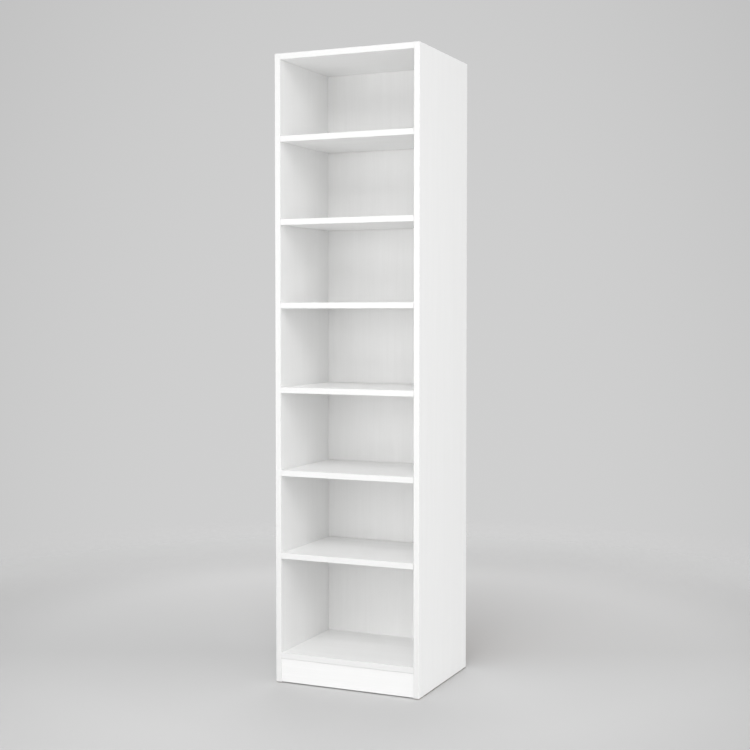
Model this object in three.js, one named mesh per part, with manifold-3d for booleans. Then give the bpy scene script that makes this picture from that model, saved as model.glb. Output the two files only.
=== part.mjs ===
// A tall open shelving unit for clothes: seven compartments between two side panels.
// Units are millimetres, +Z is up, the front faces -Y, and the origin is on the floor under the middle of the unit.
import * as THREE from "three";
import { mergeVertices } from "three/addons/utils/BufferGeometryUtils.js";
import Module from "manifold-3d";

// Overall size
const overallWidth = 500;
const overallDepth = 420;
const overallHeight = 2025;

// Boards, and the plastic band glued on each front edge
const boardThickness = 19;
const bandThickness = 1;
const glueLine = 0.1;
const jointGap = 0.2;

// Each compartment's share of the clear height inside the carcass, from the lowest up
const compartmentShares = [306, 249, 249, 253, 248, 246, 242];
const fixedShelfName = "shelf_4";
const shelfEndGap = 0.5;
const shelfRearGap = 2;

// Back panel, held in a groove that runs well before the rear edges
const innerDepth = 350;
const backThickness = 3.2;
const grooveDepth = 8;
const grooveEndGap = 0.9;
const grooveSideGap = 0.3;

// Plinth between the side panels
const plinthHeight = 76;
const plinthFloorGap = 4;
const plinthRecess = 3;

// Glides nailed under the side panels
const glideHeight = 3;
const glideDiameter = 16;
const glideChamfer = 1;
const glideSetback = 40;
const nailDiameter = 2.4;
const nailLength = 16;
const nailPointLength = 3;

// Dowels glued in the ends of the fixed boards
const dowelDiameter = 8;
const dowelLength = 35;
const dowelInSide = 12;
const dowelChamfer = 1;
const dowelSetback = 60;

// Cam bolts, screwed into the board that a fixed board meets
const boltThreadDiameter = 5;
const boltThreadLength = 11;
const boltCollarDiameter = 7.6;
const boltCollarThickness = 1.5;
const boltShankDiameter = 6;
const boltNeckDiameter = 4;
const boltHeadDiameter = 6.5;
const boltHeadLength = 3;
const boltChamfer = 0.6;

// Cam locks, set in the face of a fixed board
const camSetback = 34;
const camWall = 2.9;
const camRecess = 0.3;
const camCrossWidth = 1.6;
const camCrossSpan = 8;
const camCrossDepth = 2.2;

// Pins that carry the loose shelves, each hidden in a slot in the shelf's underside
const pinDiameter = 5;
const pinInSide = 9;
const pinHeadDiameter = 7;
const pinHeadLength = 8;
const pinFlatHeight = 2.7;
const pinChamfer = 0.6;
const pinCover = 0.5;
const pinSetback = 50;

// Clearances and cutting
const boreClearance = 0.2;
const boreEndGap = 0.8;
const seatGap = 0.3;
const cutOverrun = 2;
const turnedSides = 12;
const glideSides = 20;

// Levels and planes that the pieces share
const halfWidth = overallWidth / 2;
const innerHalfWidth = halfWidth - boardThickness;
const crossHalfSpan = innerHalfWidth - jointGap;
const frontY = -overallDepth / 2;
const rearY = overallDepth / 2;
const boardFrontY = frontY + bandThickness + glueLine;
const backFrontY = frontY + innerDepth;
const backRearY = backFrontY + backThickness;
const shelfRearY = backFrontY - shelfRearGap;
const plinthFrontY = frontY + plinthRecess;
const plinthTopZ = plinthFloorGap + plinthHeight;
const bottomUnderZ = plinthTopZ + jointGap;
const bottomUpperZ = bottomUnderZ + boardThickness;
const topUnderZ = overallHeight - boardThickness;
const shelfCount = compartmentShares.length - 1;
const boardMiddle = boardThickness / 2;

// The head of a cam bolt ends on the cam's axis, and the cam closes round it
const camReach = jointGap + camSetback;
const camCavityRadius = Math.hypot(boltHeadLength, boltHeadDiameter / 2) + boreClearance;
const camRadius = camCavityRadius + camWall;
const camBottom = -boltHeadDiameter / 2 - boreClearance;
const camTop = boardMiddle - camRecess;

// A pin's axis above the shelf's underside, and the slot that drops over its head
const pinRise = pinHeadDiameter / 2 + pinCover;
const pinSlotDepth = pinRise + pinFlatHeight + seatGap;

const sides = [
  { side: "left", sign: -1 },
  { side: "right", sign: 1 },
];
const ends = ["front", "rear"];
const dowelYs = [frontY + dowelSetback, backFrontY - dowelSetback];
const pinYs = [frontY + pinSetback, shelfRearY - pinSetback];
const glideYs = [frontY + glideSetback, rearY - glideSetback];
const camY = (frontY + backFrontY) / 2;

const materials = {
  board: new THREE.MeshStandardMaterial({ color: 0xf0f0ee, roughness: 0.5, metalness: 0 }),
  band: new THREE.MeshStandardMaterial({ color: 0xfafaf8, roughness: 0.4, metalness: 0 }),
  back: new THREE.MeshStandardMaterial({ color: 0xeeeeec, roughness: 0.55, metalness: 0 }),
  zinc: new THREE.MeshStandardMaterial({ color: 0xb9bcbf, roughness: 0.45, metalness: 1 }),
  steel: new THREE.MeshStandardMaterial({ color: 0xc9cbcd, roughness: 0.3, metalness: 1 }),
  plastic: new THREE.MeshStandardMaterial({ color: 0xf2f2f0, roughness: 0.5, metalness: 0 }),
};

const wasm = await Module();
wasm.setup();

const unit = new THREE.Group();

// A closed geometry as a manifold-3d solid
function toSolid(geometry) {
  const bare = geometry.clone();
  bare.deleteAttribute("normal");
  bare.deleteAttribute("uv");
  const merged = mergeVertices(bare);
  const vertProperties = merged.getAttribute("position").array;
  const triVerts = new Uint32Array(merged.index.array);
  return new wasm.Manifold(new wasm.Mesh({ numProp: 3, vertProperties, triVerts }));
}

// A manifold-3d solid as a flat-shaded geometry
function toGeometry(solid) {
  const mesh = solid.getMesh();
  const positions = new THREE.BufferAttribute(new Float32Array(mesh.vertProperties), mesh.numProp);
  const indexed = new THREE.BufferGeometry().setAttribute("position", positions);
  indexed.setIndex(new THREE.BufferAttribute(new Uint32Array(mesh.triVerts), 1));
  const geometry = indexed.toNonIndexed();
  geometry.computeVertexNormals();
  return geometry;
}

// A blank with other geometries joined to it, and then others cut from it
function shaped(blank, joins, cuts) {
  const joined = joins.reduce((solid, piece) => solid.add(toSolid(piece)), toSolid(blank));
  return toGeometry(cuts.reduce((solid, piece) => solid.subtract(toSolid(piece)), joined));
}

function extent(x0, x1, y0, y1, z0, z1) {
  const low = new THREE.Vector3(Math.min(x0, x1), Math.min(y0, y1), Math.min(z0, z1));
  const high = new THREE.Vector3(Math.max(x0, x1), Math.max(y0, y1), Math.max(z0, z1));
  return new THREE.Box3(low, high);
}

// A block that fills a box, where the box is
function block(box) {
  const size = box.getSize(new THREE.Vector3());
  const centre = box.getCenter(new THREE.Vector3());
  return new THREE.BoxGeometry(size.x, size.y, size.z).translate(centre.x, centre.y, centre.z);
}

// A round rod along X whose flats, not its corners, lie at the given radius
function rodAlongX(radius, x0, x1) {
  const reach = radius / Math.cos(Math.PI / turnedSides);
  const rod = new THREE.CylinderGeometry(reach, reach, Math.abs(x1 - x0), turnedSides);
  return rod.rotateZ(Math.PI / 2).translate((x0 + x1) / 2, 0, 0);
}

// The same rod along Z
function rodAlongZ(radius, z0, z1) {
  return rodAlongX(radius, z0, z1).rotateY(-Math.PI / 2);
}

// A turned piece that lies along X, from profile points of radius and place along the axis
function turned(profile, segments = turnedSides) {
  const points = profile.map(([radius, along]) => new THREE.Vector2(radius, along));
  return new THREE.LatheGeometry(points, segments).rotateZ(-Math.PI / 2);
}

// A named piece, centred on its own box
function addPiece(name, material, geometry, frame = new THREE.Matrix4()) {
  geometry.computeBoundingBox();
  const centre = geometry.boundingBox.getCenter(new THREE.Vector3());
  const mesh = new THREE.Mesh(geometry.translate(-centre.x, -centre.y, -centre.z), material);
  mesh.name = name;
  mesh.position.copy(centre).applyMatrix4(frame);
  mesh.quaternion.setFromRotationMatrix(frame);
  unit.add(mesh);
}

// The frame of a fitting: its origin on the face it enters, X into that face and Z towards its own face
function fittingFrame(origin, inward, face) {
  const across = new THREE.Vector3().crossVectors(face, inward);
  return new THREE.Matrix4().makeBasis(inward, across, face).setPosition(origin);
}

function alongX(sign) {
  return new THREE.Vector3(sign, 0, 0);
}

function alongZ(sign) {
  return new THREE.Vector3(0, 0, sign);
}

// Underside heights of the shelves, listed from the top shelf down
function shelfUndersides() {
  const clearHeight = topUnderZ - bottomUpperZ - shelfCount * boardThickness;
  const total = compartmentShares.reduce((sum, share) => sum + share, 0);
  const undersides = [];
  let level = bottomUpperZ;
  for (const share of compartmentShares.slice(0, shelfCount)) {
    level += (clearHeight * share) / total;
    undersides.unshift(level);
    level += boardThickness;
  }
  return undersides;
}

const shelves = shelfUndersides().map((underside, index) => ({ name: `shelf_${index + 1}`, underside }));
const looseShelves = shelves.filter((shelf) => shelf.name !== fixedShelfName);
const fixedShelf = shelves.find((shelf) => shelf.name === fixedShelfName);

// The fixed boards, the height of their fittings, and whether their cams look up or down
const fixedBoards = [
  { board: "top_panel", z: topUnderZ + boardMiddle, facing: 1 },
  { board: "bottom_panel", z: bottomUnderZ + boardMiddle, facing: -1 },
  { board: fixedShelfName, z: fixedShelf.underside + boardMiddle, facing: -1 },
];

// Every cam with its bolt: the board that holds the cam, the board that holds the bolt, and the frame
const camFittings = fixedBoards.flatMap(({ board, z, facing }) =>
  sides.map(({ side, sign }) => ({
    board,
    into: `${side}_side_panel`,
    suffix: `_${side}`,
    frame: fittingFrame(new THREE.Vector3(sign * innerHalfWidth, camY, z), alongX(sign), alongZ(facing)),
  })),
);
camFittings.push({
  board: "front_plinth",
  into: "bottom_panel",
  suffix: "",
  frame: fittingFrame(
    new THREE.Vector3(0, plinthFrontY + boardMiddle, bottomUnderZ),
    alongZ(1),
    new THREE.Vector3(0, 1, 0),
  ),
});

// Every dowel, which is glued in one board and enters a side panel
const dowelRows = [
  ...fixedBoards.map(({ board, z }) => ({ board, z, ys: dowelYs })),
  { board: "front_plinth", z: plinthFloorGap + plinthHeight / 2, ys: [plinthFrontY + boardMiddle] },
];
const dowels = dowelRows.flatMap(({ board, z, ys }) =>
  sides.flatMap(({ side, sign }) =>
    ys.map((y) => ({
      board,
      into: `${side}_side_panel`,
      frame: fittingFrame(new THREE.Vector3(sign * innerHalfWidth, y, z), alongX(sign), alongZ(1)),
    })),
  ),
);

// Every shelf pin, on the inner face of a side panel
const pins = looseShelves.flatMap(({ name, underside }) =>
  sides.flatMap(({ side, sign }) =>
    pinYs.map((y, index) => ({
      name: `${name}_pin_${side}_${ends[index]}`,
      shelf: name,
      into: `${side}_side_panel`,
      frame: fittingFrame(
        new THREE.Vector3(sign * innerHalfWidth, y, underside + pinRise),
        alongX(sign),
        alongZ(1),
      ),
    })),
  ),
);

// Every glide, under the lower edge of a side panel, with X up along its nail
const glides = sides.flatMap(({ side, sign }) =>
  glideYs.map((y, index) => ({
    name: `glide_${side}_${ends[index]}`,
    into: `${side}_side_panel`,
    frame: fittingFrame(
      new THREE.Vector3(sign * (halfWidth - boardMiddle), y, glideHeight),
      alongZ(1),
      new THREE.Vector3(0, 1, 0),
    ),
  })),
);

// The blind bore that takes a rod of this diameter, in the fitting's own frame
function blindBore(diameter, depth) {
  return rodAlongX(diameter / 2 + boreClearance, -cutOverrun, depth + boreEndGap);
}

// All bores that other pieces' fittings need in a board
function boresInto(board) {
  const fittings = [
    ...camFittings.map((fitting) => ({ ...fitting, bore: [boltThreadDiameter, boltThreadLength] })),
    ...dowels.map((dowel) => ({ ...dowel, bore: [dowelDiameter, dowelInSide] })),
    ...pins.map((pin) => ({ ...pin, bore: [pinDiameter, pinInSide] })),
    ...glides.map((glide) => ({ ...glide, bore: [nailDiameter, nailLength] })),
  ];
  return fittings
    .filter(({ into }) => into === board)
    .map(({ bore, frame }) => blindBore(...bore).applyMatrix4(frame));
}

// The pocket for each cam in a board, and the bore from the board's end that its bolt passes through
function camPocketsIn(board) {
  const floor = camBottom - boreEndGap;
  return camFittings
    .filter((fitting) => fitting.board === board)
    .flatMap(({ frame }) => {
      const pocket = rodAlongZ(camRadius + boreClearance, floor, boardMiddle + cutOverrun);
      const bore = rodAlongX(boltCollarDiameter / 2 + boreClearance, -camReach, cutOverrun);
      return [pocket.translate(-camReach, 0, 0), bore].map((cut) => cut.applyMatrix4(frame));
    });
}

// The glued dowels of a board, as they stand out of its ends
function dowelsOf(board) {
  const radius = dowelDiameter / 2;
  const profile = [
    [0, dowelInSide - dowelLength],
    [radius, dowelInSide - dowelLength],
    [radius, dowelInSide - dowelChamfer],
    [radius - dowelChamfer, dowelInSide],
    [0, dowelInSide],
  ];
  return dowels
    .filter((dowel) => dowel.board === board)
    .map(({ frame }) => turned(profile).applyMatrix4(frame));
}

// A board that fills a box, with its glued dowels, its cam pockets, its bores and any other cuts
function addBoard(name, material, box, cuts = []) {
  const allCuts = [...camPocketsIn(name), ...boresInto(name), ...cuts];
  addPiece(name, material, shaped(block(box), dowelsOf(name), allCuts));
}

// The band on the front edge of a board
function addBand(name, x0, x1, z0, z1) {
  const box = extent(x0, x1, frontY, frontY + bandThickness, z0, z1);
  addPiece(`${name}_edge_band`, materials.band, block(box));
}

// The slot for the back panel, as a block between two distances along X and two heights
function grooveCut(x0, x1, z0, z1) {
  return block(extent(x0, x1, backFrontY - grooveSideGap, backRearY + grooveSideGap, z0, z1));
}

function addSidePanels() {
  for (const { side, sign } of sides) {
    const inner = sign * innerHalfWidth;
    const outer = sign * halfWidth;
    const groove = grooveCut(
      sign * (innerHalfWidth - cutOverrun),
      sign * (innerHalfWidth + grooveDepth),
      bottomUpperZ - grooveDepth,
      topUnderZ + grooveDepth,
    );
    const box = extent(inner, outer, boardFrontY, rearY, glideHeight, overallHeight);
    addBoard(`${side}_side_panel`, materials.board, box, [groove]);
    addBand(`${side}_side`, inner, outer, glideHeight, overallHeight);
  }
}

// A board between the side panels, with its front band
function addCrossBoard(name, halfSpan, y1, z0, cuts) {
  const z1 = z0 + boardThickness;
  addBoard(name, materials.board, extent(-halfSpan, halfSpan, boardFrontY, y1, z0, z1), cuts);
  addBand(name, -halfSpan, halfSpan, z0, z1);
}

function addTopAndBottom() {
  const reach = crossHalfSpan + cutOverrun;
  const topGroove = grooveCut(-reach, reach, topUnderZ - cutOverrun, topUnderZ + grooveDepth);
  const bottomGroove = grooveCut(-reach, reach, bottomUpperZ - grooveDepth, bottomUpperZ + cutOverrun);
  addCrossBoard("top_panel", crossHalfSpan, rearY, topUnderZ, [topGroove]);
  addCrossBoard("bottom_panel", crossHalfSpan, rearY, bottomUnderZ, [bottomGroove]);
}

// The slot in a shelf's underside over a pin's head, round at its inner end
function pinSlot() {
  const halfSlot = pinHeadDiameter / 2 + boreClearance;
  const outline = new THREE.Shape();
  outline.moveTo(cutOverrun, -halfSlot);
  outline.lineTo(cutOverrun, halfSlot);
  outline.absarc(-pinHeadLength, 0, halfSlot, Math.PI / 2, (3 * Math.PI) / 2);
  const depth = cutOverrun + pinSlotDepth;
  const slot = new THREE.ExtrudeGeometry(outline, { depth, curveSegments: turnedSides / 2, bevelEnabled: false });
  return slot.translate(0, 0, -pinRise - cutOverrun);
}

function addShelves() {
  for (const shelf of shelves) {
    const halfSpan = shelf === fixedShelf ? crossHalfSpan : innerHalfWidth - shelfEndGap;
    const slots = pins
      .filter((pin) => pin.shelf === shelf.name)
      .map(({ frame }) => pinSlot().applyMatrix4(frame));
    addCrossBoard(shelf.name, halfSpan, shelfRearY, shelf.underside, slots);
  }
}

function addBackPanel() {
  const reach = grooveDepth - grooveEndGap;
  const halfSpan = innerHalfWidth + reach;
  const z0 = bottomUpperZ - reach;
  const z1 = topUnderZ + reach;
  const box = extent(-halfSpan, halfSpan, backFrontY, backRearY, z0, z1);
  addPiece("back_panel", materials.back, block(box));
}

function addPlinth() {
  const plinthRearY = plinthFrontY + boardThickness;
  const box = extent(-crossHalfSpan, crossHalfSpan, plinthFrontY, plinthRearY, plinthFloorGap, plinthTopZ);
  addBoard("front_plinth", materials.board, box);
}

// A cam bolt: its thread enters the other board, and its head ends on the cam's axis
function boltGeometry() {
  const thread = boltThreadDiameter / 2;
  const collar = boltCollarDiameter / 2;
  const shank = boltShankDiameter / 2;
  const neck = boltNeckDiameter / 2;
  const head = boltHeadDiameter / 2;
  const headStart = boltHeadLength - camReach;
  const neckStart = camRadius + seatGap - camReach;
  const collarEnd = -seatGap - boltCollarThickness;
  return turned([
    [0, -camReach],
    [head - boltChamfer, -camReach],
    [head, boltChamfer - camReach],
    [head, headStart],
    [neck, headStart],
    [neck, neckStart],
    [shank, neckStart],
    [shank, collarEnd],
    [collar, collarEnd],
    [collar, -seatGap],
    [thread, -seatGap],
    [thread, boltThreadLength - boltChamfer],
    [thread - boltChamfer, boltThreadLength],
    [0, boltThreadLength],
  ]);
}

// A cam lock: a drum, open below and on the side where the bolt comes in, with a cross recess in its face
function camGeometry() {
  const floor = camBottom - cutOverrun;
  const halfSlot = boltNeckDiameter / 2 + boreClearance;
  const halfCross = camCrossWidth / 2;
  const halfSpan = camCrossSpan / 2;
  const crossFloor = camTop - camCrossDepth;
  const crossTop = camTop + cutOverrun;
  const drum = turned([
    [0, camBottom],
    [camRadius, camBottom],
    [camRadius, camTop],
    [0, camTop],
  ]).rotateY(-Math.PI / 2);
  const cavity = rodAlongZ(camCavityRadius, floor, -camBottom);
  const slot = block(extent(0, camRadius + cutOverrun, -halfSlot, halfSlot, floor, halfSlot));
  const crossBars = [
    block(extent(-halfSpan, halfSpan, -halfCross, halfCross, crossFloor, crossTop)),
    block(extent(-halfCross, halfCross, -halfSpan, halfSpan, crossFloor, crossTop)),
  ];
  return shaped(drum, [], [cavity, slot, ...crossBars]).translate(-camReach, 0, 0);
}

function addCamFittings() {
  for (const { board, suffix, frame } of camFittings) {
    addPiece(`${board}_cam_lock${suffix}`, materials.zinc, camGeometry(), frame);
    addPiece(`${board}_cam_bolt${suffix}`, materials.steel, boltGeometry(), frame);
  }
}

// A turned pin with a flat along the top of its head, where the shelf sits
function pinGeometry() {
  const shank = pinDiameter / 2;
  const head = pinHeadDiameter / 2;
  const pin = turned([
    [0, -pinHeadLength],
    [head - pinChamfer, -pinHeadLength],
    [head, pinChamfer - pinHeadLength],
    [head, -seatGap],
    [shank, -seatGap],
    [shank, pinInSide - pinChamfer],
    [shank - pinChamfer, pinInSide],
    [0, pinInSide],
  ]);
  const above = extent(-pinHeadLength - cutOverrun, 0, -head, head, pinFlatHeight, pinHeadDiameter);
  return shaped(pin, [], [block(above)]);
}

function addPins() {
  for (const { name, frame } of pins) {
    addPiece(name, materials.steel, pinGeometry(), frame);
  }
}

// A plastic glide with its nail, standing on the floor
function glideGeometry() {
  const radius = glideDiameter / 2;
  const nail = nailDiameter / 2;
  return turned(
    [
      [0, -glideHeight],
      [radius - glideChamfer, -glideHeight],
      [radius, glideChamfer - glideHeight],
      [radius, -glueLine],
      [nail, -glueLine],
      [nail, nailLength - nailPointLength],
      [0, nailLength],
    ],
    glideSides,
  );
}

function addGlides() {
  for (const { name, frame } of glides) {
    addPiece(name, materials.plastic, glideGeometry(), frame);
  }
}

addSidePanels();
addTopAndBottom();
addShelves();
addBackPanel();
addPlinth();
addCamFittings();
addPins();
addGlides();

export default unit;
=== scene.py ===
# The looks of a tall open shelving unit for clothes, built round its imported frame.
# Lengths are metres, +Z is up, the front faces -Y and the origin is on the floor, as in the frame.
import math

import bmesh
import bpy
from mathutils import Matrix, Vector


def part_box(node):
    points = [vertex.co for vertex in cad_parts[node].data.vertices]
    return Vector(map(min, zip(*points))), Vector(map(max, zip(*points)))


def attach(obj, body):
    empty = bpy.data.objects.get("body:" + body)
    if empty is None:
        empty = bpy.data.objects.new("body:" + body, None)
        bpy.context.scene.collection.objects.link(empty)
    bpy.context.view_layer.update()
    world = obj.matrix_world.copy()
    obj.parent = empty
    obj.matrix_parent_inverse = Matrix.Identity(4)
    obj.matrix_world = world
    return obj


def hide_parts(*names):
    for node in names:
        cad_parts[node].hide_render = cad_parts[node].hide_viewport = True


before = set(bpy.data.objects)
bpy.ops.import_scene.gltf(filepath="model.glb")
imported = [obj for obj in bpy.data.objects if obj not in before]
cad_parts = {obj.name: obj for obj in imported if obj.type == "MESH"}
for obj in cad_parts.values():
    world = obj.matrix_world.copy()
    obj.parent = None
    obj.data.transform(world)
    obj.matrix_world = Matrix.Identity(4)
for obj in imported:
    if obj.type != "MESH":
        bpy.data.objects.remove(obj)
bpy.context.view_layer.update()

MM = 0.001
RIGHT = Vector((1, 0, 0))
BACK = Vector((0, 1, 0))
UP = Vector((0, 0, 1))
SIDES = {"left": -RIGHT, "right": RIGHT}

# Boards and bands: fine edges, and the room round each fitting and the back panel
ARRIS = 0.3 * MM
ARRIS_STEPS = 3
BAND_RADIUS = 0.8 * MM
BAND_STEPS = 6
SHEET_ARRIS = 0.15 * MM
GLUE_LINE = 0.03 * MM
BORE_FIT = 0.05 * MM
BORE_END_ROOM = 0.6 * MM
OVERRUN = 2 * MM
GROOVE_ROOM = Vector((0.9, 0.3, 0.9)) * MM
ROUND_STEPS = 48
SMOOTH_ANGLE = math.radians(35)

# How far a face's normal leans to a side, from 0 to 1, before the face takes that side's finish
FACED_LEAN = 0.3
EDGED_LEAN = 0.5

# Dowels in the ends of the fixed boards
DOWEL_RADIUS = 4 * MM
DOWEL_LENGTH = 35 * MM
DOWEL_IN_SIDE = 12 * MM
DOWEL_CHAMFER = 1 * MM
DOWEL_SETBACK = 60 * MM
DOWEL_FLUTES = 16
FLUTE_DEPTH = 0.3 * MM
FLUTE_STEPS = 6

# Cam bolts, from the head to the thread's tip
HEAD_RADIUS = 3.25 * MM
HEAD_LENGTH = 3 * MM
NECK_RADIUS = 2 * MM
NECK_END = 11 * MM
SHANK_RADIUS = 3 * MM
COLLAR_RADIUS = 3.8 * MM
COLLAR_LENGTH = 1.5 * MM
COLLAR_GAP = 0.3 * MM
BOLT_CHAMFER = 0.5 * MM
BOLT_BORE_RADIUS = 4 * MM
THREAD_LENGTH = 11 * MM
THREAD_RADIUS = 2.5 * MM
THREAD_DEPTH = 0.6 * MM
THREAD_PITCH = 2.2 * MM
THREAD_RIDGE_SHARE = 0.3
THREAD_TAPER = 1.5 * MM
THREAD_RINGS = 60

# Cam locks
CAVITY_RADIUS = 4.6 * MM
CAVITY_HEIGHT = 6.9 * MM
CAM_SLOT_HALF = 2.2 * MM
CAM_CHAMFER = 0.4 * MM
CAM_RIM = 1.1 * MM
CAM_DISH = 0.25 * MM
CROSS_HALF_WIDTH = 0.8 * MM
CROSS_HALF_SPAN = 4 * MM
CROSS_DEPTH = 2.2 * MM
ARROW_PLACE = 5.2 * MM
ARROW_REACH = 0.9 * MM
ARROW_DEPTH = 0.5 * MM

# Shelf pins, from the head to the end in the side panel
PIN_HEAD_RADIUS = 3.5 * MM
PIN_SHANK_RADIUS = 2.5 * MM
PIN_IN_SIDE = 9 * MM
PIN_FLAT = 2.7 * MM
PIN_CHAMFER = 0.6 * MM
PIN_GAP = 0.3 * MM
SLOT_ROOM = 0.2 * MM

# Glides and their nails
GLIDE_FACE = 2.9 * MM
GLIDE_CHAMFER = 0.9 * MM
GLIDE_DIMPLE_RADIUS = 2.2 * MM
GLIDE_DIMPLE_DEPTH = 0.5 * MM
NAIL_RADIUS = 1.2 * MM
NAIL_POINT = 3 * MM

# Camera
CAMERA_PLACE = Vector((1.8055, -4.0480, 1.2021))
CAMERA_YAW = math.radians(23.95)
CAMERA_PITCH = math.radians(-2.20)
CAMERA_LENS = 64.77
CAMERA_SENSOR = 36.0
CAMERA_SHIFT_UP = -0.015

# Floor: a round sheet, darker near the unit than far behind it as the camera looks, where the lighter far
# part is painted light, and that fades into the background at its rim. Near and far are measured from the
# origin along the camera's view.
FLOOR_MIDDLE = Vector((-0.2, 0.45, 0.0))
FLOOR_RADIUS = 3.0
FLOOR_THICKNESS = 2 * MM
FLOOR_FADE_START = 1.15
FLOOR_STEPS = 96
FLOOR_COLOUR = (0.61, 0.61, 0.61, 1.0)
FLOOR_FAR_PAINTED_LIGHT_COLOUR = (0.77, 0.77, 0.77, 1.0)
FLOOR_NEAR = 0.3
FLOOR_FAR = 1.7
FLOOR_ROUGHNESS = 0.9
FLOOR_SPECULAR = 0.2

# Background as the camera sees it, with a painted pool of light that makes it brightest behind the unit,
# and the even light of the room
BACKGROUND_POOL_PAINTED_LIGHT_COLOUR = (0.628, 0.628, 0.628, 1.0)
BACKGROUND_RIM_COLOUR = (0.505, 0.505, 0.505, 1.0)
BACKGROUND_SPREAD = math.radians(26)
BACKGROUND_RISE = math.radians(-6)
BACKGROUND_RISE_SHARE = 0.6
ROOM_COLOUR = (1.0, 1.0, 1.0, 1.0)
ROOM_STRENGTH = 0.52

# Soft lamps: place, the point it looks at, width, height and power in watts
LAMPS = {
    "front": ((-0.2, -2.4, 1.05), (0.0, 0.0, 0.95), 2.8, 2.0, 25.0),
    "ceiling": ((0.8, -3.6, 4.0), (0.0, 0.0, 0.95), 2.8, 2.0, 86.0),
    "right_front": ((3.6, -2.2, 1.7), (0.0, 0.0, 1.0), 1.8, 2.4, 21.5),
    "right_side": ((4.5, 0.1, 1.3), (0.0, 0.0, 1.0), 2.4, 2.6, 47.0),
    "rear": ((-1.5, 4.0, 2.6), (0.0, 0.0, 0.8), 3.0, 2.0, 45.0),
}

# Colours of the surfaces
MELAMINE_WHITE = (0.930, 0.930, 0.927, 1.0)
MELAMINE_SHADE = (0.893, 0.893, 0.888, 1.0)
LACQUER_WHITE = (0.886, 0.886, 0.881, 1.0)
LACQUER_SHADE = (0.848, 0.848, 0.842, 1.0)
# The front edge bands face the lamps, so their white is set darker than the melamine's: painted shade that
# keeps them from clipping to white
BAND_WHITE_WITH_PAINTED_SHADE = (0.780, 0.780, 0.777, 1.0)
BAND_SHADE_WITH_PAINTED_SHADE = (0.765, 0.765, 0.761, 1.0)
# The plinth's facing is the boards' melamine, set darker: painted shade on a front face that the lamps
# light strongly
PLINTH_WHITE_WITH_PAINTED_SHADE = (0.872, 0.872, 0.869, 1.0)
PLINTH_SHADE_WITH_PAINTED_SHADE = (0.843, 0.843, 0.838, 1.0)
CORE_LIGHT = (0.62, 0.47, 0.31, 1.0)
CORE_DARK = (0.33, 0.22, 0.13, 1.0)
HARDBOARD_LIGHT = (0.40, 0.25, 0.145, 1.0)
HARDBOARD_DARK = (0.30, 0.175, 0.095, 1.0)
BEECH_LIGHT = (0.70, 0.49, 0.31, 1.0)
BEECH_DARK = (0.56, 0.36, 0.21, 1.0)
ZINC_LIGHT = (0.60, 0.61, 0.62, 1.0)
ZINC_DARK = (0.46, 0.47, 0.49, 1.0)
STEEL_LIGHT = (0.74, 0.75, 0.76, 1.0)
STEEL_DARK = (0.62, 0.63, 0.65, 1.0)
PLASTIC_WHITE = (0.84, 0.84, 0.83, 1.0)
PLASTIC_SHADE = (0.78, 0.78, 0.77, 1.0)

# Roughness of the surfaces, as one value or from the smoothest spots to the roughest
MELAMINE_ROUGHNESS = (0.42, 0.5)
BAND_ROUGHNESS = (0.33, 0.4)
CORE_ROUGHNESS = 0.85
HARDBOARD_ROUGHNESS = (0.66, 0.78)
BEECH_ROUGHNESS = 0.6
ZINC_ROUGHNESS = (0.38, 0.52)
STEEL_ROUGHNESS = (0.22, 0.36)
PLASTIC_ROUGHNESS = (0.45, 0.58)

# Wood grain in the white facings: its patches' width and length, the noise over which each kind of patch
# sets in, how strongly it shades the white, and what it adds to the relief
GRAIN_FIGURE = (22 * MM, 600 * MM)
GRAIN_STREAK = (3.2 * MM, 160 * MM)
GRAIN_PORE = (0.5 * MM, 14 * MM)
GRAIN_FIBRE = (0.25 * MM, 5 * MM)
FIGURE_NOISE = (0.35, 0.65)
STREAK_NOISE = (0.4, 0.68)
PORE_NOISE = (0.62, 0.72)
FIGURE_STRENGTH = 0.35
STREAK_STRENGTH = 0.45
PORE_STRENGTH = 0.4
PORE_RELIEF = -0.7
FIBRE_RELIEF = 0.3
GRAIN_DEPTH = 0.04 * MM

# The other finishes: their patches' sizes along X, Y and Z or one for all three, the share that one kind
# of patch has in a mixture, and the depth of the relief
BAND_WAVE = 9 * MM
BAND_PEEL = 0.7 * MM
BAND_PEEL_SHARE = 0.3
BAND_DEPTH = 0.02 * MM
CORE_FLAKE = (3.4 * MM, 2.2 * MM, 1.1 * MM)
CORE_DUST = (0.6 * MM, 0.6 * MM, 0.4 * MM)
CORE_DUST_SHARE = 0.35
CORE_DEPTH = 0.15 * MM
HARDBOARD_MOTTLE = 6 * MM
HARDBOARD_FIBRE = (0.5 * MM, 0.5 * MM, 2.4 * MM)
HARDBOARD_FIBRE_SHARE = 0.5
HARDBOARD_DEPTH = 0.05 * MM
BEECH_GRAIN = (14 * MM, 0.7 * MM, 0.7 * MM)
BEECH_FLECK = (1.6 * MM, 0.25 * MM, 0.25 * MM)
FLECK_NOISE = (0.64, 0.72)
BEECH_DEPTH = 0.05 * MM
ZINC_CLOUD = 2.2 * MM
ZINC_SKIN = 0.2 * MM
ZINC_DEPTH = 0.02 * MM
STEEL_CLOUD = 3 * MM
STEEL_MARK = (0.12 * MM, 1.6 * MM, 1.6 * MM)
STEEL_DEPTH = 0.01 * MM
PLASTIC_CLOUD = 4 * MM
PLASTIC_MATT = 0.3 * MM
PLASTIC_DEPTH = 0.02 * MM

# Nearly all of a noise lies between these
NOISE_LOW = 0.3
NOISE_HIGH = 0.7


def view_direction(rise):
    """The direction that the camera looks in, raised from the level by an angle."""
    level = math.cos(rise)
    return -level * math.sin(CAMERA_YAW), level * math.cos(CAMERA_YAW), math.sin(rise)


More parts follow.
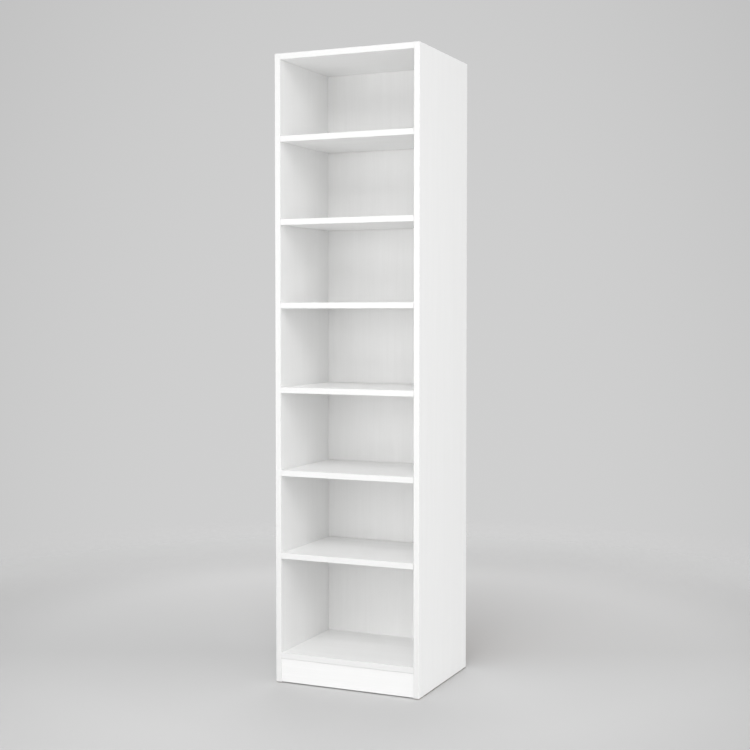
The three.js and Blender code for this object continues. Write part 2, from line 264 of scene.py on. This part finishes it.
class Nodes:
    """A node tree, with short calls that add its nodes and join them."""

    def __init__(self, tree):
        self.nodes = tree.nodes
        self.links = tree.links

    def feed(self, socket, value):
        """Joins a socket to another node's output, or sets it to a plain value."""
        if isinstance(value, bpy.types.NodeSocket):
            self.links.new(value, socket)
        else:
            socket.default_value = value

    def add(self, kind, **inputs):
        node = self.nodes.new(kind)
        for name, value in inputs.items():
            self.feed(node.inputs[name.replace("_", " ")], value)
        return node

    def ramp(self, value, low, high, start=0.0, end=1.0, kind="LINEAR"):
        """The value's range from low to high, spread from start to end."""
        node = self.add(
            "ShaderNodeMapRange", Value=value, From_Min=low, From_Max=high, To_Min=start, To_Max=end)
        node.interpolation_type = kind
        return node.outputs[0]

    def weigh(self, value, amount):
        """A value between 0 and 1, times this amount."""
        return self.ramp(value, 0.0, 1.0, 0.0, amount)

    def calculate(self, operation, first, second):
        node = self.nodes.new("ShaderNodeMath")
        node.operation = operation
        self.feed(node.inputs[0], first)
        self.feed(node.inputs[1], second)
        return node.outputs[0]

    def sum(self, first, *others):
        total = first
        for value in others:
            total = self.calculate("ADD", total, value)
        return total

    def measure(self, operation, *vectors):
        """What a vector operation gives, as its outputs Vector and Value."""
        node = self.nodes.new("ShaderNodeVectorMath")
        node.operation = operation
        for socket, vector in zip(node.inputs, vectors):
            self.feed(socket, vector)
        return node.outputs

    def mix(self, share, first, second):
        """The colour that lies this share of the way from the first to the second."""
        node = self.nodes.new("ShaderNodeMix")
        node.data_type = "RGBA"
        by_identifier = {socket.identifier: socket for socket in node.inputs}
        self.feed(by_identifier["Factor_Float"], share)
        self.feed(by_identifier["A_Color"], first)
        self.feed(by_identifier["B_Color"], second)
        return next(socket for socket in node.outputs if socket.identifier == "Result_Color")

    def blend(self, share, first, second):
        """The shader that lies this share of the way from the first to the second."""
        node = self.nodes.new("ShaderNodeMixShader")
        for socket, source in zip(node.inputs, (share, first, second)):
            self.feed(socket, source)
        return node.outputs[0]


class Surface(Nodes):
    """A new material, whose patterns lie in the object's own place."""

    def __init__(self, name, metallic=0.0):
        self.material = bpy.data.materials.new(name)
        self.material.use_nodes = True
        super().__init__(self.material.node_tree)
        self.shader = self.nodes["Principled BSDF"]
        self.shader.inputs["Metallic"].default_value = metallic
        self.place = self.add("ShaderNodeTexCoord").outputs["Object"]

    def scaled(self, size):
        """The place, counted in patches of this size, which is one length or three."""
        sides = (size, size, size) if isinstance(size, float) else size
        counts = [1 / side for side in sides]
        return self.add("ShaderNodeMapping", Vector=self.place, Scale=counts).outputs[0]

    def noise(self, size, detail=2.0):
        return self.add("ShaderNodeTexNoise", Vector=self.scaled(size), Scale=1.0, Detail=detail).outputs[0]

    def flakes(self, size):
        """A chance grey for each flake."""
        flake = self.add("ShaderNodeTexVoronoi", Vector=self.scaled(size), Scale=1.0)
        return self.add("ShaderNodeSeparateColor", Color=flake.outputs["Color"]).outputs[0]

    def vary(self, noise, start, end):
        """A noise, spread from start to end."""
        return self.ramp(noise, NOISE_LOW, NOISE_HIGH, start, end)

    def paint(self, colour, roughness):
        self.feed(self.shader.inputs["Base Color"], colour)
        self.feed(self.shader.inputs["Roughness"], roughness)

    def relief(self, height, depth):
        """Bump from a height between 0 and 1, this deep."""
        bump = self.add("ShaderNodeBump", Height=height, Strength=1.0, Distance=depth)
        self.links.new(bump.outputs["Normal"], self.shader.inputs["Normal"])


def stretched(patch, axis):
    """The sizes along X, Y and Z of a patch whose length lies along one axis."""
    width, length = patch
    return [length if index == axis else width for index in range(3)]


def melamine(name, axis, white=MELAMINE_WHITE, shade=MELAMINE_SHADE):
    """White facing with a faint embossed wood grain along one axis."""
    surface = Surface(name)
    figure = surface.ramp(
        surface.noise(stretched(GRAIN_FIGURE, axis), detail=3.0), *FIGURE_NOISE, 0.0, FIGURE_STRENGTH)
    streaks = surface.ramp(
        surface.noise(stretched(GRAIN_STREAK, axis), detail=4.0), *STREAK_NOISE, 0.0, STREAK_STRENGTH)
    pores = surface.ramp(surface.noise(stretched(GRAIN_PORE, axis)), *PORE_NOISE)
    fibres = surface.noise(stretched(GRAIN_FIBRE, axis), detail=1.0)
    shading = surface.sum(figure, streaks, surface.weigh(pores, PORE_STRENGTH))
    roughness = surface.ramp(streaks, 0.0, STREAK_STRENGTH, *MELAMINE_ROUGHNESS)
    surface.paint(surface.mix(shading, white, shade), roughness)
    height = surface.sum(surface.weigh(pores, PORE_RELIEF), surface.weigh(fibres, FIBRE_RELIEF))
    surface.relief(height, GRAIN_DEPTH)
    return surface.material


def banding(name, white, shade):
    """Smooth white band or foil on an edge, with the slight waviness of pressed plastic."""
    surface = Surface(name)
    waves = surface.noise(BAND_WAVE)
    peel = surface.noise(BAND_PEEL, detail=1.0)
    surface.paint(surface.mix(waves, white, shade), surface.vary(peel, *BAND_ROUGHNESS))
    surface.relief(surface.sum(waves, surface.weigh(peel, BAND_PEEL_SHARE)), BAND_DEPTH)
    return surface.material


def chipboard():
    """Raw chipboard: flat flakes of many tones, finer dust between them."""
    surface = Surface("chipboard_core")
    flakes = surface.flakes(CORE_FLAKE)
    dust = surface.noise(CORE_DUST, detail=3.0)
    tone = surface.sum(surface.weigh(flakes, 1 - CORE_DUST_SHARE), surface.vary(dust, 0.0, CORE_DUST_SHARE))
    surface.paint(surface.mix(tone, CORE_DARK, CORE_LIGHT), CORE_ROUGHNESS)
    surface.relief(tone, CORE_DEPTH)
    return surface.material


def hardboard():
    """Raw brown hardboard: pressed fibres with a fine mottle."""
    surface = Surface("raw_hardboard")
    mottle = surface.vary(surface.noise(HARDBOARD_MOTTLE, detail=5.0), 0.0, 1 - HARDBOARD_FIBRE_SHARE)
    fibres = surface.noise(HARDBOARD_FIBRE, detail=3.0)
    tone = surface.sum(mottle, surface.vary(fibres, 0.0, HARDBOARD_FIBRE_SHARE))
    roughness = surface.ramp(tone, 0.0, 1.0, *HARDBOARD_ROUGHNESS)
    surface.paint(surface.mix(tone, HARDBOARD_DARK, HARDBOARD_LIGHT), roughness)
    surface.relief(fibres, HARDBOARD_DEPTH)
    return surface.material


def beech():
    """Beech turned along X, with short dark flecks."""
    surface = Surface("beech")
    grain = surface.noise(BEECH_GRAIN, detail=3.0)
    flecks = surface.ramp(surface.noise(BEECH_FLECK, detail=1.0), *FLECK_NOISE)
    shading = surface.sum(surface.vary(grain, 0.0, 1.0), flecks)
    surface.paint(surface.mix(shading, BEECH_LIGHT, BEECH_DARK), BEECH_ROUGHNESS)
    surface.relief(grain, BEECH_DEPTH)
    return surface.material


def zinc():
    """Die-cast zinc: dull, with cloudy patches and a fine cast skin."""
    surface = Surface("die_cast_zinc", metallic=1.0)
    clouds = surface.noise(ZINC_CLOUD, detail=3.0)
    surface.paint(surface.mix(clouds, ZINC_LIGHT, ZINC_DARK), surface.vary(clouds, *ZINC_ROUGHNESS))
    surface.relief(surface.noise(ZINC_SKIN), ZINC_DEPTH)
    return surface.material


def steel():
    """Bright zinc-plated steel with fine turning marks."""
    surface = Surface("plated_steel", metallic=1.0)
    marks = surface.noise(STEEL_MARK)
    clouds = surface.noise(STEEL_CLOUD)
    surface.paint(surface.mix(clouds, STEEL_LIGHT, STEEL_DARK), surface.vary(marks, *STEEL_ROUGHNESS))
    surface.relief(marks, STEEL_DEPTH)
    return surface.material


def plastic():
    """Moulded white plastic with a faint matt texture."""
    surface = Surface("white_plastic")
    clouds = surface.noise(PLASTIC_CLOUD)
    matt = surface.noise(PLASTIC_MATT)
    surface.paint(surface.mix(clouds, PLASTIC_WHITE, PLASTIC_SHADE), surface.vary(matt, *PLASTIC_ROUGHNESS))
    surface.relief(matt, PLASTIC_DEPTH)
    return surface.material


def paving():
    """Pale floor with painted light that makes it lighter far behind the unit as the camera looks, and that
    turns clear towards its rim.
    """
    surface = Surface("pale_floor")
    surface.shader.inputs["Specular IOR Level"].default_value = FLOOR_SPECULAR
    depth = surface.measure("DOT_PRODUCT", surface.place, view_direction(0))["Value"]
    # The floor's colour goes from its own pale grey near the unit to a lighter grey far away: painted
    # light.
    distance = surface.ramp(depth, FLOOR_NEAR, FLOOR_FAR)
    surface.paint(surface.mix(distance, FLOOR_COLOUR, FLOOR_FAR_PAINTED_LIGHT_COLOUR), FLOOR_ROUGHNESS)
    reach = surface.measure("DISTANCE", surface.place, FLOOR_MIDDLE)["Value"]
    rim = surface.ramp(reach, FLOOR_FADE_START, FLOOR_RADIUS, kind="SMOOTHSTEP")
    clear = surface.add("ShaderNodeBsdfTransparent")
    faded = surface.blend(rim, surface.shader.outputs[0], clear.outputs[0])
    surface.links.new(faded, surface.nodes["Material Output"].inputs["Surface"])
    return surface.material


# The places of the axes in a vector, and of a board's three materials in its slots
X_AXIS, Y_AXIS, Z_AXIS = range(3)
FACE, EDGE, CORE = range(3)

# The materials
# The front bands' white is darker than the melamine's: painted shade. The foil keeps the melamine's own
# white.
EDGE_BAND_WITH_PAINTED_SHADE = banding("white_banding_painted_shade", BAND_WHITE_WITH_PAINTED_SHADE, BAND_SHADE_WITH_PAINTED_SHADE)
EDGE_FOIL = banding("white_foil", MELAMINE_WHITE, MELAMINE_SHADE)
CHIPBOARD = chipboard()
GRAIN_ACROSS = melamine("melamine_grain_across", X_AXIS)
GRAIN_UPRIGHT = melamine("melamine_grain_upright", Z_AXIS)
# The plinth's white is darker than the boards' melamine: painted shade.
PLINTH_FACING_WITH_PAINTED_SHADE = melamine("plinth_facing_painted_shade", X_AXIS, PLINTH_WHITE_WITH_PAINTED_SHADE, PLINTH_SHADE_WITH_PAINTED_SHADE)
BACK_SHEET = [melamine("back_panel_front", Z_AXIS, LACQUER_WHITE, LACQUER_SHADE), hardboard()]
ZINC, STEEL, BEECH, PLASTIC = zinc(), steel(), beech(), plastic()


def new_object(name, form, materials, matrix=Matrix()):
    """A form as an object whose mesh is in place."""
    mesh = bpy.data.meshes.new(name)
    bmesh.ops.recalc_face_normals(form, faces=form.faces)
    form.to_mesh(mesh)
    form.free()
    mesh.transform(matrix)
    for material in materials:
        mesh.materials.append(material)
    thing = bpy.data.objects.new(name, mesh)
    bpy.context.scene.collection.objects.link(thing)
    return thing


def smooth(thing):
    """Shades the round faces smooth and keeps the edges crisp."""
    thing.data.shade_smooth()
    thing.data.set_sharp_from_angle(angle=SMOOTH_ANGLE)


def stands_for(thing, slot, *nodes):
    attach(thing, "root")
    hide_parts(*nodes)


def block(low, high):
    form = bmesh.new()
    size = Matrix.Diagonal((*(high - low), 1))
    bmesh.ops.create_cube(form, size=1, matrix=Matrix.Translation((low + high) / 2) @ size)
    return form


def soften(form, radius, steps, wanted=lambda middle: True):
    """Rounds the edges whose middle is wanted."""
    edges = [edge for edge in form.edges if wanted((edge.verts[0].co + edge.verts[1].co) / 2)]
    bmesh.ops.bevel(form, geom=edges, offset=radius, segments=steps, profile=0.5, affect="EDGES")


def prism(outline, start, end):
    """A closed body between two heights over an outline."""
    form = bmesh.new()
    lower, upper = ([form.verts.new((x, y, height)) for x, y in outline] for height in (start, end))
    form.faces.new(lower)
    form.faces.new(upper)
    for index in range(len(outline)):
        form.faces.new((lower[index - 1], lower[index], upper[index], upper[index - 1]))
    return form


def circle(radius, steps=ROUND_STEPS):
    angles = [2 * math.pi * step / steps for step in range(steps)]
    return [(radius * math.cos(angle), radius * math.sin(angle)) for angle in angles]


def rectangle(x0, x1, y0, y1):
    return [(x0, y0), (x1, y0), (x1, y1), (x0, y1)]


def turned(profile, reach=lambda radius, height, angle: radius, steps=ROUND_STEPS):
    """A body turned round +Z from points of radius and height. Its reach may also vary with the angle."""
    form = bmesh.new()
    rings = []
    for radius, height in profile:
        ring = []
        for step in range(steps if radius else 1):
            angle = 2 * math.pi * step / steps
            distance = reach(radius, height, angle)
            ring.append(form.verts.new((distance * math.cos(angle), distance * math.sin(angle), height)))
        rings.append(ring)
    for lower, upper in zip(rings, rings[1:]):
        for step in range(steps):
            places = ((lower, step), (lower, step + 1), (upper, step + 1), (upper, step))
            corners = [ring[place % len(ring)] for ring, place in places]
            form.faces.new(list(dict.fromkeys(corners)))
    return form


def frame_at(origin, forward, up):
    """A frame whose +Z points forward and whose +X points up."""
    turn = Matrix((up, forward.cross(up), forward)).transposed()
    return Matrix.Translation(origin) @ turn.to_4x4()


def start_of(node, forward):
    """The middle of the side of a node's box that a walk forward starts from."""
    low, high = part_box(node)
    return (low + high) / 2 - forward * abs((high - low).dot(forward)) / 2


def length_of(node, forward):
    low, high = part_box(node)
    return abs((high - low).dot(forward))


# The shared planes, read from the frame
front_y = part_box("left_side_edge_band")[0].y
back_front_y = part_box("back_panel")[0].y
inner_half_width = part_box("right_side_panel")[0].x
fixed_span = [corner.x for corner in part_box("top_panel_edge_band")]
shelves = sorted(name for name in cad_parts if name.removeprefix("shelf_").isdigit())
cross_boards = ["top_panel", "bottom_panel", *shelves]
fixed_boards = [name for name in cross_boards if f"{name}_cam_lock_left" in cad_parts]
loose_shelves = [name for name in shelves if name not in fixed_boards]

# What is cut from each board, as lists of cutter objects
cutters = {name: [] for name in [*cross_boards, "left_side_panel", "right_side_panel", "front_plinth"]}


def cutter(form, matrix, *boards, finish=CHIPBOARD):
    tool = new_object("cutter", form, [finish], matrix)
    for board in boards:
        cutters[board].append(tool)


def cut(thing, tools):
    """Takes the tools away from a thing. The walls of each cut have its tool's finish."""
    for tool in tools:
        step = thing.modifiers.new("cut", "BOOLEAN")
        step.operation = "DIFFERENCE"
        step.solver = "MANIFOLD"
        step.material_mode = "TRANSFER"
        step.object = tool
    graph = bpy.context.evaluated_depsgraph_get()
    whole = thing.data
    thing.data = bpy.data.meshes.new_from_object(thing.evaluated_get(graph))
    thing.modifiers.clear()
    bpy.data.meshes.remove(whole)


def remove_all(tools):
    for tool in tools:
        mesh = tool.data
        bpy.data.objects.remove(tool)
        bpy.data.meshes.remove(mesh)


def cam_fittings():
    """Each cam: its board, the board its bolt enters, both nodes, the bolt's direction and the cam's."""
    for board in fixed_boards:
        facing = UP if board == "top_panel" else -UP
        for side, outward in SIDES.items():
            names = (f"{board}_cam_lock_{side}", f"{board}_cam_bolt_{side}")
            yield board, f"{side}_side_panel", *names, outward, facing
    yield "front_plinth", "bottom_panel", "front_plinth_cam_lock", "front_plinth_cam_bolt", UP, BACK


def add_cam(board, node, forward, facing, bolt_axis):
    """A drum with a dished face, a cross recess, an arrow, and the window that takes the bolt's head."""
    low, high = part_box(node)
    radius = length_of(node, forward.cross(facing)) / 2
    depth = length_of(node, facing)
    face = start_of(node, -facing)
    place = frame_at(face, facing, forward)
    cutter(prism(circle(radius + BORE_FIT), -depth - BORE_END_ROOM, OVERRUN), place, board)
    profile = [
        (0, -depth), (radius - CAM_CHAMFER, -depth), (radius, CAM_CHAMFER - depth), (radius, -CAM_CHAMFER),
        (radius - CAM_CHAMFER, 0), (radius - CAM_RIM, 0), (radius - CAM_RIM - CAM_DISH, -CAM_DISH),
        (0, -CAM_DISH),
    ]
    drum = new_object(node + "_drum", turned(profile), [ZINC], place)
    axis_depth = (face - bolt_axis).dot(facing)
    arrow = [(ARROW_PLACE + ARROW_REACH, 0), (ARROW_PLACE, ARROW_REACH), (ARROW_PLACE, -ARROW_REACH)]
    half = CAM_SLOT_HALF
    recesses = [
        prism(circle(CAVITY_RADIUS), -depth - OVERRUN, CAVITY_HEIGHT - depth),
        prism(rectangle(0, radius + OVERRUN, -half, half), -depth - OVERRUN, half - axis_depth),
        prism(rectangle(-CROSS_HALF_SPAN, CROSS_HALF_SPAN, -CROSS_HALF_WIDTH, CROSS_HALF_WIDTH),
              -CROSS_DEPTH, OVERRUN),
        prism(rectangle(-CROSS_HALF_WIDTH, CROSS_HALF_WIDTH, -CROSS_HALF_SPAN, CROSS_HALF_SPAN),
              -CROSS_DEPTH, OVERRUN),
        prism(arrow, -ARROW_DEPTH, OVERRUN),
    ]
    tools = [new_object("recess", recess, [ZINC], place) for recess in recesses]
    cut(drum, tools)
    remove_all(tools)
    smooth(drum)
    stands_for(drum, "zinc", node)


def thread_reach(thread_start, tip):
    """The reach of a bolt's surface, which winds in a ridge past the thread's start."""

    def reach(radius, height, angle):
        if height <= thread_start or radius < THREAD_RADIUS:
            return radius
        turn = (height / THREAD_PITCH - angle / (2 * math.pi)) % 1
        ridge = max(0, 1 - abs(turn - 0.5) / THREAD_RIDGE_SHARE)
        taper = min(1, (tip - height) / THREAD_TAPER)
        return radius - THREAD_DEPTH * (1 - ridge * taper)

    return reach


def add_bolt(board, into, node, forward, up):
    """A turned bolt with a wound thread, in a bore from the cam to the next board."""
    length = length_of(node, forward)
    face = length - THREAD_LENGTH
    place = frame_at(start_of(node, forward), forward, up)
    cutter(prism(circle(BOLT_BORE_RADIUS), 0, face + OVERRUN), place, board)
    bore_end = length + BORE_END_ROOM
    cutter(prism(circle(THREAD_RADIUS + BORE_FIT), face - OVERRUN, bore_end), place, into)
    collar_end = face - COLLAR_GAP
    rings = [face + THREAD_LENGTH * step / THREAD_RINGS for step in range(1, THREAD_RINGS)]
    profile = [
        (0, 0), (HEAD_RADIUS - BOLT_CHAMFER, 0), (HEAD_RADIUS, BOLT_CHAMFER),
        (HEAD_RADIUS, HEAD_LENGTH - BOLT_CHAMFER), (NECK_RADIUS, HEAD_LENGTH), (NECK_RADIUS, NECK_END),
        (SHANK_RADIUS, NECK_END + BOLT_CHAMFER), (SHANK_RADIUS, collar_end - COLLAR_LENGTH),
        (COLLAR_RADIUS, collar_end - COLLAR_LENGTH), (COLLAR_RADIUS, collar_end),
        (THREAD_RADIUS - THREAD_DEPTH, collar_end), *[(THREAD_RADIUS, height) for height in rings],
        (THREAD_RADIUS - THREAD_DEPTH - BOLT_CHAMFER, length), (0, length),
    ]
    bolt = new_object(node + "_turned", turned(profile, thread_reach(face, length)), [STEEL], place)
    smooth(bolt)
    stands_for(bolt, "steel", node)


def add_cam_fittings():
    for board, into, cam, bolt, forward, facing in cam_fittings():
        add_cam(board, cam, forward, facing, start_of(bolt, forward))
        add_bolt(board, into, bolt, forward, facing)


def dowel_places():
    """Each dowel: its name, its board, its side and the point on the side panel's inner face."""
    for board in fixed_boards:
        middle = (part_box(board)[0].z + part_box(board)[1].z) / 2
        for side in SIDES:
            for end, y in (("front", front_y + DOWEL_SETBACK), ("rear", back_front_y - DOWEL_SETBACK)):
                yield f"{board}_dowel_{side}_{end}", board, side, Vector((0, y, middle))
    low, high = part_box("front_plinth")
    for side in SIDES:
        middle = (low + high) / 2
        yield f"front_plinth_dowel_{side}", "front_plinth", side, Vector((0, middle.y, middle.z))


def flute(radius, height, angle):
    return radius - FLUTE_DEPTH * (0.5 - 0.5 * math.cos(DOWEL_FLUTES * angle))


def add_dowels():
    inner = DOWEL_IN_SIDE - DOWEL_LENGTH
    profile = [
        (0, inner), (DOWEL_RADIUS - DOWEL_CHAMFER, inner), (DOWEL_RADIUS, inner + DOWEL_CHAMFER),
        (DOWEL_RADIUS, DOWEL_IN_SIDE - DOWEL_CHAMFER), (DOWEL_RADIUS - DOWEL_CHAMFER, DOWEL_IN_SIDE),
        (0, DOWEL_IN_SIDE),
    ]
    for name, board, side, middle in dowel_places():
        outward = SIDES[side]
        place = frame_at(middle + outward * inner_half_width, outward, UP)
        bore = prism(circle(DOWEL_RADIUS + BORE_FIT), inner - BORE_END_ROOM, DOWEL_IN_SIDE + BORE_END_ROOM)
        cutter(bore, place, board, f"{side}_side_panel")
        dowel = new_object(name, turned(profile, flute, DOWEL_FLUTES * FLUTE_STEPS), [BEECH], place)
        smooth(dowel)
        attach(dowel, "root")


def flattened(radius, height, angle):
    """The reach of a pin's surface, whose head is flat on its upper side."""
    rise = math.cos(angle)
    return PIN_FLAT / rise if radius * rise > PIN_FLAT else radius


def slot_outline(head_length):
    """The outline over a pin's head, round past its end, with +X along the pin."""
    half = PIN_HEAD_RADIUS + SLOT_ROOM
    turns = [math.pi * (0.5 + step / ROUND_STEPS) for step in range(ROUND_STEPS + 1)]
    round_end = [(half * math.cos(turn) - head_length, half * math.sin(turn)) for turn in turns]
    return [(OVERRUN, -half), (OVERRUN, half), *round_end]


def add_pin(shelf, node, side):
    outward = SIDES[side]
    length = length_of(node, outward)
    head_length = length - PIN_IN_SIDE
    start = start_of(node, outward)
    # The flat lowers the top of the head's box, so the axis is found from its underside
    start.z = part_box(node)[0].z + PIN_HEAD_RADIUS
    place = frame_at(start, outward, UP)
    profile = [
        (0, 0), (PIN_HEAD_RADIUS - PIN_CHAMFER, 0), (PIN_HEAD_RADIUS, PIN_CHAMFER),
        (PIN_HEAD_RADIUS, head_length - PIN_GAP), (PIN_SHANK_RADIUS, head_length - PIN_GAP),
        (PIN_SHANK_RADIUS, length - PIN_CHAMFER), (PIN_SHANK_RADIUS - PIN_CHAMFER, length), (0, length),
    ]
    pin = new_object(node + "_turned", turned(profile, flattened), [STEEL], place)
    smooth(pin)
    stands_for(pin, "steel", node)
    hole = prism(circle(PIN_SHANK_RADIUS + BORE_FIT), head_length - OVERRUN, length + BORE_END_ROOM)
    cutter(hole, place, f"{side}_side_panel")
    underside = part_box(shelf)[0].z
    face = start + outward * head_length
    slot_place = frame_at(Vector((face.x, face.y, underside)), UP, outward)
    slot_top = start.z + PIN_FLAT + PIN_GAP - underside
    cutter(prism(slot_outline(head_length), -OVERRUN, slot_top), slot_place, shelf, finish=EDGE_FOIL)


def add_pins():
    for shelf in loose_shelves:
        for side in SIDES:
            for end in ("front", "rear"):
                add_pin(shelf, f"{shelf}_pin_{side}_{end}", side)


def add_glides():
    for side in SIDES:
        for end in ("front", "rear"):
            node = f"glide_{side}_{end}"
            radius = length_of(node, RIGHT) / 2
            length = length_of(node, UP)
            place = frame_at(start_of(node, UP), UP, BACK)
            profile = [
                (0, GLIDE_DIMPLE_DEPTH), (GLIDE_DIMPLE_RADIUS, GLIDE_DIMPLE_DEPTH),
                (GLIDE_DIMPLE_RADIUS + GLIDE_DIMPLE_DEPTH, 0), (radius - GLIDE_CHAMFER, 0),
                (radius, GLIDE_CHAMFER), (radius, GLIDE_FACE), (NAIL_RADIUS, GLIDE_FACE),
                (NAIL_RADIUS, length - NAIL_POINT), (0, length),
            ]
            glide = new_object(node + "_moulded", turned(profile), [PLASTIC, STEEL], place)
            # The glide stands on the floor, so a height in its profile is a height in the frame
            for face in glide.data.polygons:
                face.material_index = int(face.center.z > GLIDE_FACE + OVERRUN)
            smooth(glide)
            stands_for(glide, "glide_plastic", node)
            bore = prism(circle(NAIL_RADIUS + BORE_FIT), GLIDE_FACE - OVERRUN, length + BORE_END_ROOM)
            cutter(bore, place, f"{side}_side_panel")


def add_back_panel():
    """A thin sheet, white in front and raw behind, and the groove that holds it."""
    low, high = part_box("back_panel")
    form = block(low, high)
    soften(form, SHEET_ARRIS, ARRIS_STEPS)
    for face in form.faces:
        face.material_index = int(face.normal.y > -EDGED_LEAN)
    panel = new_object("back_panel_sheet", form, BACK_SHEET)
    stands_for(panel, "back_board", "back_panel")
    held_by = ("top_panel", "bottom_panel", "left_side_panel", "right_side_panel")
    cutter(block(low - GROOVE_ROOM, high + GROOVE_ROOM), Matrix(), *held_by)


def add_board(name, low, high, faced, facing, edged, band_y=None):
    """A board with its own cuts. Facing lies on both sides along one axis, foil on the edged sides."""
    if band_y is not None:
        low.y = band_y + GLUE_LINE
    form = block(low, high)
    soften(form, ARRIS, ARRIS_STEPS, lambda middle: band_y is None or middle.y > low.y)
    for face in form.faces:
        if abs(face.normal[faced]) > FACED_LEAN:
            face.material_index = FACE
        elif any(face.normal.dot(side) > EDGED_LEAN for side in edged):
            face.material_index = EDGE
        else:
            face.material_index = CORE
    board = new_object(name + "_faced", form, [facing, EDGE_FOIL, CHIPBOARD])
    cut(board, cutters[name])
    stands_for(board, "white_board", name)


def add_band(node, along):
    """Adds a band whose two long front edges are rounded, and gives back the corners of its box."""
    low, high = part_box(node)
    form = block(low, high)
    middle = (low + high) / 2
    soften(form, BAND_RADIUS, BAND_STEPS,
           lambda place: place.y < middle.y and abs(place[along] - middle[along]) < OVERRUN)
    # The band's material carries painted shade: its white is darker than the melamine's.
    band = new_object(node + "_rounded", form, [EDGE_BAND_WITH_PAINTED_SHADE])
    stands_for(band, "edge_band", node)
    return low, high


def edged_sides(board):
    """The sides that have edge foil: a loose shelf's ends, and the rear of the top and bottom panels."""
    if board in loose_shelves:
        return RIGHT, -RIGHT
    return () if board in shelves else (BACK,)


def add_boards():
    for side in SIDES:
        band_rear = add_band(f"{side}_side_edge_band", Z_AXIS)[1].y
        low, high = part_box(f"{side}_side_panel")
        add_board(f"{side}_side_panel", low, high, X_AXIS, GRAIN_UPRIGHT, (BACK, UP), band_rear)
    for name in cross_boards:
        band_low, band_high = add_band(f"{name}_edge_band", X_AXIS)
        low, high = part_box(name)
        low.x, high.x = band_low.x, band_high.x
        add_board(name, low, high, Z_AXIS, GRAIN_ACROSS, edged_sides(name), band_high.y)
    low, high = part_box("front_plinth")
    low.x, high.x = fixed_span
    add_board("front_plinth", low, high, Y_AXIS, PLINTH_FACING_WITH_PAINTED_SHADE, (UP, -UP))


def add_floor():
    form = prism(circle(FLOOR_RADIUS, FLOOR_STEPS), -FLOOR_THICKNESS, 0)
    floor = new_object("floor", form, [paving()], Matrix.Translation(FLOOR_MIDDLE))


def add_lamps():
    for name, (place, target, width, height, power) in LAMPS.items():
        light = bpy.data.lights.new(name, "AREA")
        light.shape = "RECTANGLE"
        light.size = width
        light.size_y = height
        light.energy = power
        lamp = bpy.data.objects.new(name, light)
        lamp.location = place
        lamp.rotation_euler = (Vector(target) - Vector(place)).to_track_quat("-Z", "Y").to_euler()
        bpy.context.scene.collection.objects.link(lamp)


def add_camera():
    camera = bpy.data.cameras.new("camera")
    camera.lens = CAMERA_LENS
    camera.sensor_width = CAMERA_SENSOR
    camera.shift_y = CAMERA_SHIFT_UP
    viewer = bpy.data.objects.new("camera", camera)
    viewer.location = CAMERA_PLACE
    viewer.rotation_euler = (math.pi / 2 + CAMERA_PITCH, 0, CAMERA_YAW)
    bpy.context.scene.collection.objects.link(viewer)
    bpy.context.scene.camera = viewer


def add_room():
    """Even light from all round, and the backdrop that the camera and reflections see, with a painted pool
    of light behind the unit.
    """
    world = bpy.data.worlds.new("room")
    world.use_nodes = True
    bpy.context.scene.world = world
    room = Nodes(world.node_tree)
    room.nodes.clear()
    place = room.add("ShaderNodeTexCoord").outputs["Generated"]
    flatter = room.add("ShaderNodeMapping", Vector=place, Scale=(1, 1, BACKGROUND_RISE_SHARE))
    direction = room.measure("NORMALIZE", flatter.outputs[0])["Vector"]
    nearness = room.measure("DOT_PRODUCT", direction, view_direction(BACKGROUND_RISE))["Value"]
    # The backdrop is brightest behind the unit and falls to the rim colour around it: a painted pool of
    # light.
    painted_light_pool = room.ramp(nearness, math.cos(BACKGROUND_SPREAD), 1.0, kind="SMOOTHSTEP")
    seen = room.add("ShaderNodeBackground", Color=room.mix(painted_light_pool, BACKGROUND_RIM_COLOUR, BACKGROUND_POOL_PAINTED_LIGHT_COLOUR))
    light = room.add("ShaderNodeBackground", Color=ROOM_COLOUR, Strength=ROOM_STRENGTH)
    rays = room.add("ShaderNodeLightPath").outputs
    in_sight = rays["Is Camera Ray"]
    for ray in ("Is Glossy Ray", "Is Transmission Ray"):
        in_sight = room.calculate("MAXIMUM", in_sight, rays[ray])
    output = room.add("ShaderNodeOutputWorld")
    room.feed(output.inputs["Surface"], room.blend(in_sight, light.outputs[0], seen.outputs[0]))


add_camera()
add_cam_fittings()
add_dowels()
add_pins()
add_glides()
add_back_panel()
add_boards()
remove_all({tool for tools in cutters.values() for tool in tools})
add_floor()
add_lamps()
add_room()

scene = bpy.context.scene
scene.view_settings.view_transform = "Standard"
